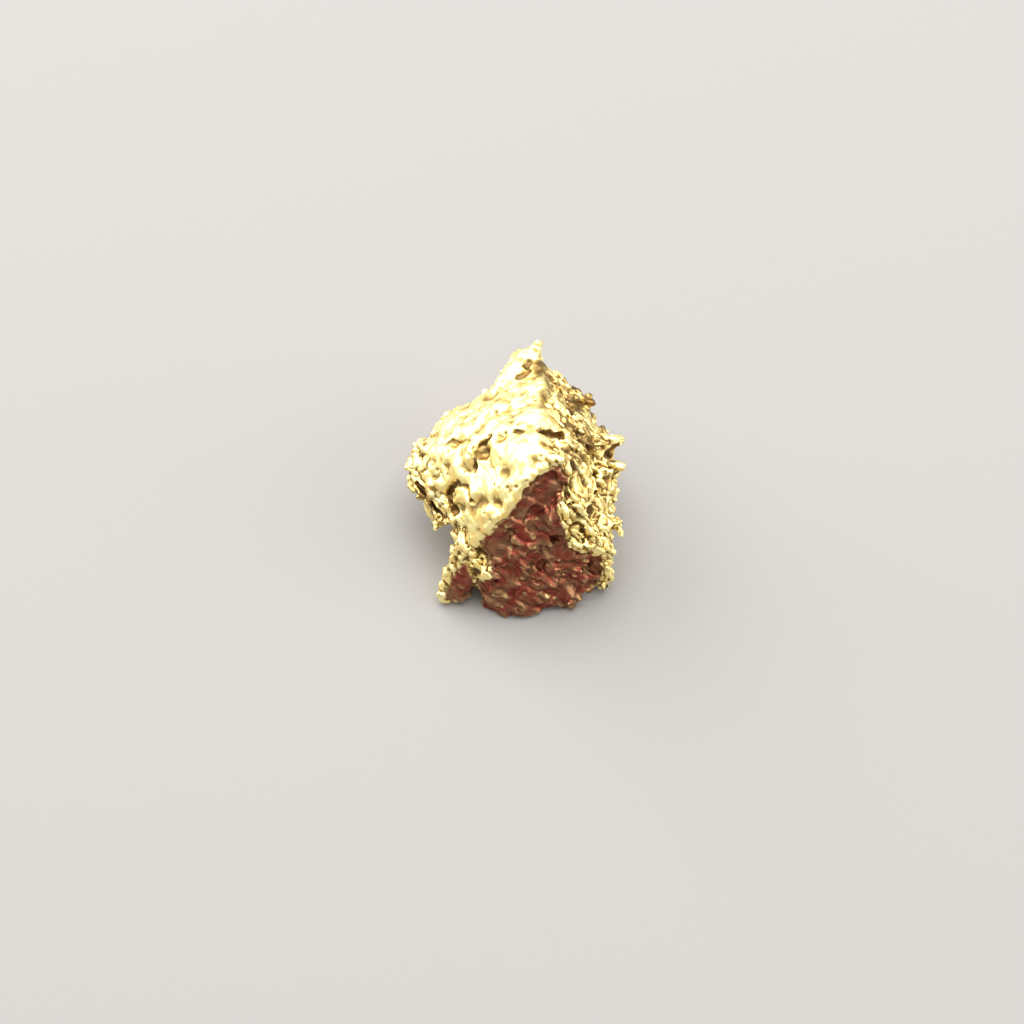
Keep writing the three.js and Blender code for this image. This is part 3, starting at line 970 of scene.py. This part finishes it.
def ramp_of(nodes, links, value, stops):
    """A colour for each value, from stops of position and colour."""
    ramp = nodes.new("ShaderNodeValToRGB")
    elements = ramp.color_ramp.elements
    for element, (position, colour) in zip(elements, (stops[0], stops[-1])):
        element.position = position
        element.color = (*colour, 1)
    for position, colour in stops[1:-1]:
        elements.new(position).color = (*colour, 1)
    links.new(value, ramp.inputs["Fac"])
    return ramp.outputs["Color"]


def mixed(nodes, links, factor, first, second, blend="MIX"):
    """One colour mixed with another. A factor may be a number or come from another node."""
    mix = nodes.new("ShaderNodeMix")
    mix.data_type = "RGBA"
    mix.blend_type = blend
    if isinstance(factor, float):
        mix.inputs["Factor"].default_value = factor
    else:
        links.new(factor, mix.inputs["Factor"])
    links.new(first, mix.inputs["A"])
    links.new(second, mix.inputs["B"])
    return mix.outputs["Result"]


GOLD_TONES = [(0.35, (1.0, 0.74, 0.26)), (0.65, (1.0, 0.90, 0.43))]
# painted shade: the hollows darken towards brown
HOLLOW_SHADE_TINTS = [(0.0, (1.0, 1.0, 1.0)), (0.45, (0.45, 0.38, 0.31)), (1.0, (0.16, 0.115, 0.10))]
# painted reflection: the dark red and brown of the wall, a reflection in shade
REFLECTION_TINTS = [(0.40, (0.29, 0.062, 0.040)), (0.60, (0.30, 0.155, 0.080))]
MOTTLES_PER_MM = 2.2
REFLECTION_SPOTS_PER_MM = 1.6
GRIT_PER_MM = 14
GRIT_HEIGHT = 0.03


def gold_surface():
    """The group of nodes behind both golds. The painted shade of the hollows and the painted
    reflection in shade of the wall go in, and the metal's colour with both painted into it, a
    mottling from 0 to 1 and a gritty normal come out."""
    group = bpy.data.node_groups.new("gold surface", "ShaderNodeTree")
    for label in ("Hollow_Shade", "Painted_Dark_Reflection"):
        group.interface.new_socket(label, in_out="INPUT", socket_type="NodeSocketFloat")
    group.interface.new_socket("Colour", in_out="OUTPUT", socket_type="NodeSocketColor")
    group.interface.new_socket("Mottling", in_out="OUTPUT", socket_type="NodeSocketFloat")
    group.interface.new_socket("Normal", in_out="OUTPUT", socket_type="NodeSocketVector")
    nodes, links = group.nodes, group.links
    given = nodes.new("NodeGroupInput").outputs
    result = nodes.new("NodeGroupOutput").inputs
    to_mm = nodes.new("ShaderNodeVectorMath")
    to_mm.operation = "SCALE"
    to_mm.inputs["Scale"].default_value = 1 / MM
    links.new(nodes.new("ShaderNodeTexCoord").outputs["Object"], to_mm.inputs[0])
    place = to_mm.outputs[0]

    mottling = noise_of(nodes, links, place, MOTTLES_PER_MM, 4)
    gold = ramp_of(nodes, links, mottling, GOLD_TONES)
    # painted shade in the hollows
    shade_tint = ramp_of(nodes, links, given["Hollow_Shade"], HOLLOW_SHADE_TINTS)
    shaded_gold = mixed(nodes, links, 1.0, gold, shade_tint, "MULTIPLY")
    # painted reflection in shade on the wall, darker in the hollows too
    reflection_tint = ramp_of(nodes, links, noise_of(nodes, links, place, REFLECTION_SPOTS_PER_MM, 5), REFLECTION_TINTS)
    reflection_tint = mixed(nodes, links, 0.3, reflection_tint, shade_tint, "MULTIPLY")
    links.new(mixed(nodes, links, given["Painted_Dark_Reflection"], shaded_gold, reflection_tint), result["Colour"])
    links.new(mottling, result["Mottling"])

    bump = nodes.new("ShaderNodeBump")
    bump.inputs["Strength"].default_value = 0.35
    bump.inputs["Distance"].default_value = GRIT_HEIGHT * MM
    links.new(noise_of(nodes, links, place, GRIT_PER_MM, 4), bump.inputs["Height"])
    links.new(bump.outputs["Normal"], result["Normal"])
    return group


# %% the two golds
MOTTLED_ROUGHNESS = 0.18


def gold_material(name, surface, roughness):
    """Metal coloured by the shared surface, a little rougher where the mottling is high."""
    material = bpy.data.materials.new(name)
    material.use_nodes = True
    nodes, links = material.node_tree.nodes, material.node_tree.links
    shader = nodes["Principled BSDF"]
    shader.inputs["Metallic"].default_value = 1.0
    shared = nodes.new("ShaderNodeGroup")
    shared.node_tree = surface
    # the painted shade and the painted reflection come from the piece's attributes
    for label in ("Hollow_Shade", "Painted_Dark_Reflection"):
        number = nodes.new("ShaderNodeAttribute")
        number.attribute_name = label.lower()
        links.new(number.outputs["Fac"], shared.inputs[label])
    rough = nodes.new("ShaderNodeMapRange")
    rough.inputs["To Min"].default_value = roughness
    rough.inputs["To Max"].default_value = roughness + MOTTLED_ROUGHNESS
    links.new(shared.outputs["Mottling"], rough.inputs["Value"])
    links.new(rough.outputs["Result"], shader.inputs["Roughness"])
    links.new(shared.outputs["Colour"], shader.inputs["Base Color"])
    links.new(shared.outputs["Normal"], shader.inputs["Normal"])
    return material


surface = gold_surface()
skin_gold = gold_material("worn gold", surface, 0.36)
crystal_gold = gold_material("crystal gold", surface, 0.28)

# %% the three pieces
skin = finished("skin", fitted(corners), triangles, {"hollow_shade": hollow_shade, "painted_dark_reflection": painted_dark_reflection}, skin_gold)


def crystal_numbers(home, height):
    """Painted shade and painted reflection of crystals: painted shade low on their sides, more of it
    in a wide hollow, and the painted reflection of the corner that each one sits on.
    """
    crystal_shade = np.clip(eased(-height, -0.15, 0.75) + deep[home], 0, 1)
    return {"hollow_shade": crystal_shade, "painted_dark_reflection": painted_dark_reflection[home]}


free_numbers = crystal_numbers(free_home, free_height)
free = finished("free_crystals", fitted(free_corners), free_triangles, free_numbers, crystal_gold)
small_numbers = crystal_numbers(small_home, small_height)
small = finished("small_crystals", fitted(small_corners), small_triangles, small_numbers, crystal_gold)
for piece in (skin, free, small):
    print(piece.name, len(piece.data.polygons), "triangles")

# %% [markdown]
# ## Floor and light
# A pale floor, a large softbox overhead and a little behind, a second one low at the left
# back and a weaker one at the right, so the front wall only mirrors the floor and stays dark.
# Gold shows only what it mirrors, so the lamps are wide: small ones would give hard sparks.

# %% floor
FLOOR_HALF = 2.0


def pale_floor():
    """A wide square floor at height 0."""
    mesh = bpy.data.meshes.new("floor")
    half = FLOOR_HALF
    mesh.from_pydata([(-half, -half, 0), (half, -half, 0), (half, half, 0), (-half, half, 0)], [], [range(4)])
    material = bpy.data.materials.new("pale floor")
    material.use_nodes = True
    shader = material.node_tree.nodes["Principled BSDF"]
    shader.inputs["Base Color"].default_value = (0.27, 0.26, 0.25, 1)
    shader.inputs["Roughness"].default_value = 0.8
    mesh.materials.append(material)
    floor = bpy.data.objects.new("floor", mesh)
    bpy.context.scene.collection.objects.link(floor)
    return floor


pale_floor()


# %% softboxes
def softbox(name, direction, distance, width, depth, radiance):
    """A flat lamp that faces the nugget. A lamp of radiance L and area A gives pi L A watts."""
    data = bpy.data.lights.new(name, "AREA")
    data.shape = "RECTANGLE"
    data.size, data.size_y = width, depth
    data.energy = float(np.pi * radiance * width * depth)
    away = Vector(direction).normalized()
    lamp = bpy.data.objects.new(name, data)
    lamp.location = Vector((0, 0, 4 * MM)) + away * distance
    lamp.rotation_mode = "QUATERNION"
    lamp.rotation_quaternion = (-away).to_track_quat("-Z", "Y")
    bpy.context.scene.collection.objects.link(lamp)
    return lamp


softbox("overhead", (0.10, 0.35, 1.0), 0.4, 0.42, 0.36, 6.3)
softbox("left back", (-0.75, 0.55, 0.50), 0.4, 0.42, 0.32, 5.2)
softbox("right", (0.90, -0.05, 0.40), 0.4, 0.26, 0.26, 3.5)

world = bpy.data.worlds.new("room")
bpy.context.scene.world = world
world.use_nodes = True
world.node_tree.nodes["Background"].inputs["Color"].default_value = (1.0, 0.97, 0.93, 1)
world.node_tree.nodes["Background"].inputs["Strength"].default_value = 0.6
bpy.context.scene.view_settings.view_transform = "Standard"
